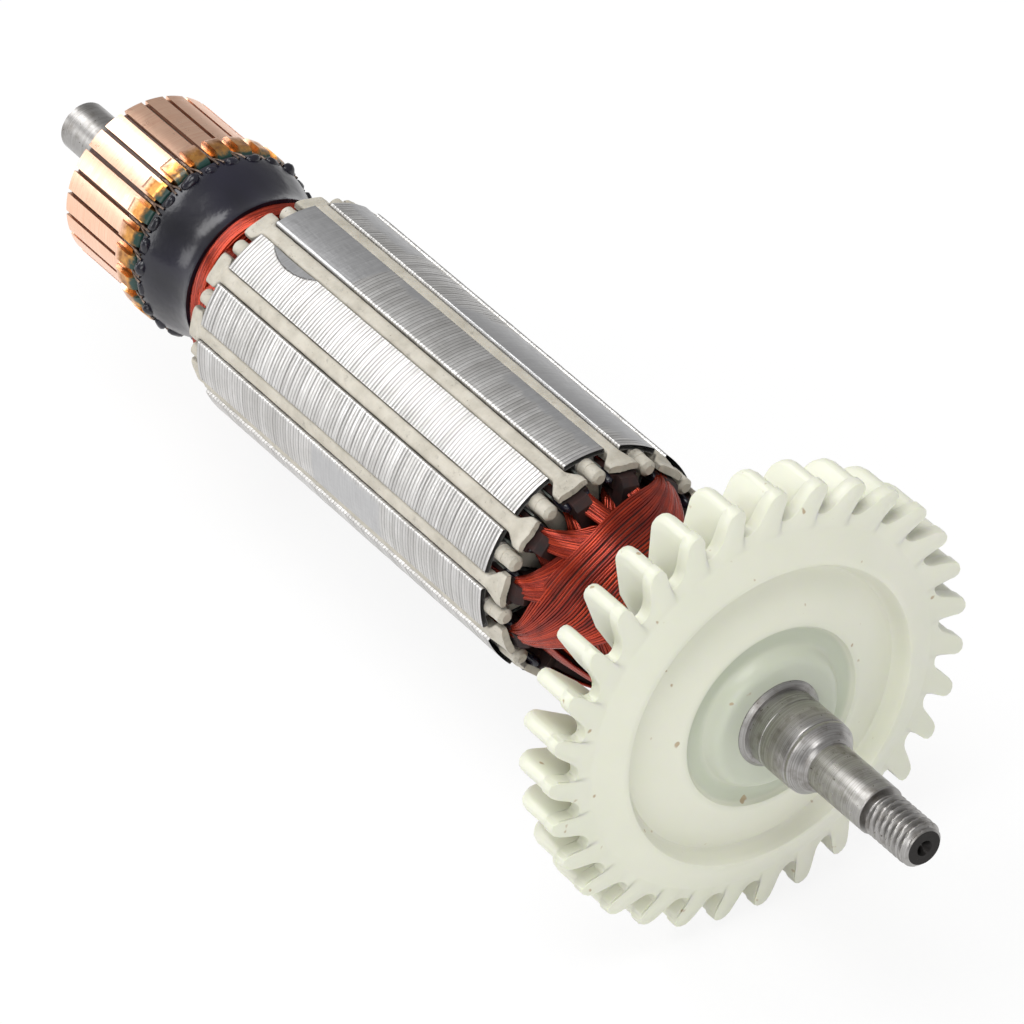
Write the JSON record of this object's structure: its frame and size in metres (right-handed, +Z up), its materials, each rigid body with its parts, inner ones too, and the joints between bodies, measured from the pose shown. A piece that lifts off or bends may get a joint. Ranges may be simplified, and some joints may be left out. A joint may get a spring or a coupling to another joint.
{
  "type": "motor armature",
  "caption": "Wound armature of a hand-held grinder motor: shaft with threaded end, slotted laminated core, hooked commutator and a moulded cooling fan.",
  "frame": {"origin": "on the rotor axis, at the shoulder that the front bearing rests on", "axes": "+X along the rotor axis towards the threaded end; +Z up through the middle of a core tooth"},
  "size_m": [0.1837, 0.0616, 0.0615],
  "materials": {
    "turned_steel": "turned and ground, with fine rings and small scuffs",
    "lamination_steel": "stacked sheet edges, with smooth patches where the surface was dressed",
    "bar_copper": "pale turned copper, browner at the hooks",
    "enamelled_copper": "glossy dark red enamel on round wire",
    "cream_nylon": "matte, slightly fuzzy cut ends, with dark specks",
    "liner_film": "dark film, satin",
    "insulating_tube": "plain, satin",
    "phenolic": "dark brown moulding, satin",
    "black_resin": "glossy, brushed on, slightly uneven",
    "milky_nylon": "milky, slightly see-through nylon, satin"
  },
  "bodies": {
    "root": {"shaft": "turned_steel", "shaft_insulation_sleeve": "insulating_tube", "lamination_stack": "lamination_steel", "front_end_insulator": "cream_nylon", "rear_end_insulator": "cream_nylon", "slot_liners": "liner_film", "commutator_moulding": "phenolic", "resin_cone": "black_resin", "coil_leads": "enamelled_copper", "fan": "milky_nylon", "fan_bush": "turned_steel", "slot_wedge_01": "cream_nylon", "slot_wedge_02": "cream_nylon", "slot_wedge_03": "cream_nylon", "slot_wedge_04": "cream_nylon", "slot_wedge_05": "cream_nylon", "slot_wedge_06": "cream_nylon", "slot_wedge_07": "cream_nylon", "slot_wedge_08": "cream_nylon", "slot_wedge_09": "cream_nylon", "slot_wedge_10": "cream_nylon", "slot_wedge_11": "cream_nylon", "slot_wedge_12": "cream_nylon", "coil_01": "enamelled_copper", "coil_02": "enamelled_copper", "coil_03": "enamelled_copper", "coil_04": "enamelled_copper", "coil_05": "enamelled_copper", "coil_06": "enamelled_copper", "coil_07": "enamelled_copper", "coil_08": "enamelled_copper", "coil_09": "enamelled_copper", "coil_10": "enamelled_copper", "coil_11": "enamelled_copper", "coil_12": "enamelled_copper", "commutator_bar_01": "bar_copper", "commutator_bar_02": "bar_copper", "commutator_bar_03": "bar_copper", "commutator_bar_04": "bar_copper", "commutator_bar_05": "bar_copper", "commutator_bar_06": "bar_copper", "commutator_bar_07": "bar_copper", "commutator_bar_08": "bar_copper", "commutator_bar_09": "bar_copper", "commutator_bar_10": "bar_copper", "commutator_bar_11": "bar_copper", "commutator_bar_12": "bar_copper", "commutator_bar_13": "bar_copper", "commutator_bar_14": "bar_copper", "commutator_bar_15": "bar_copper", "commutator_bar_16": "bar_copper", "commutator_bar_17": "bar_copper", "commutator_bar_18": "bar_copper", "commutator_bar_19": "bar_copper", "commutator_bar_20": "bar_copper", "commutator_bar_21": "bar_copper", "commutator_bar_22": "bar_copper", "commutator_bar_23": "bar_copper", "commutator_bar_24": "bar_copper"}
  },
  "joints": []
}
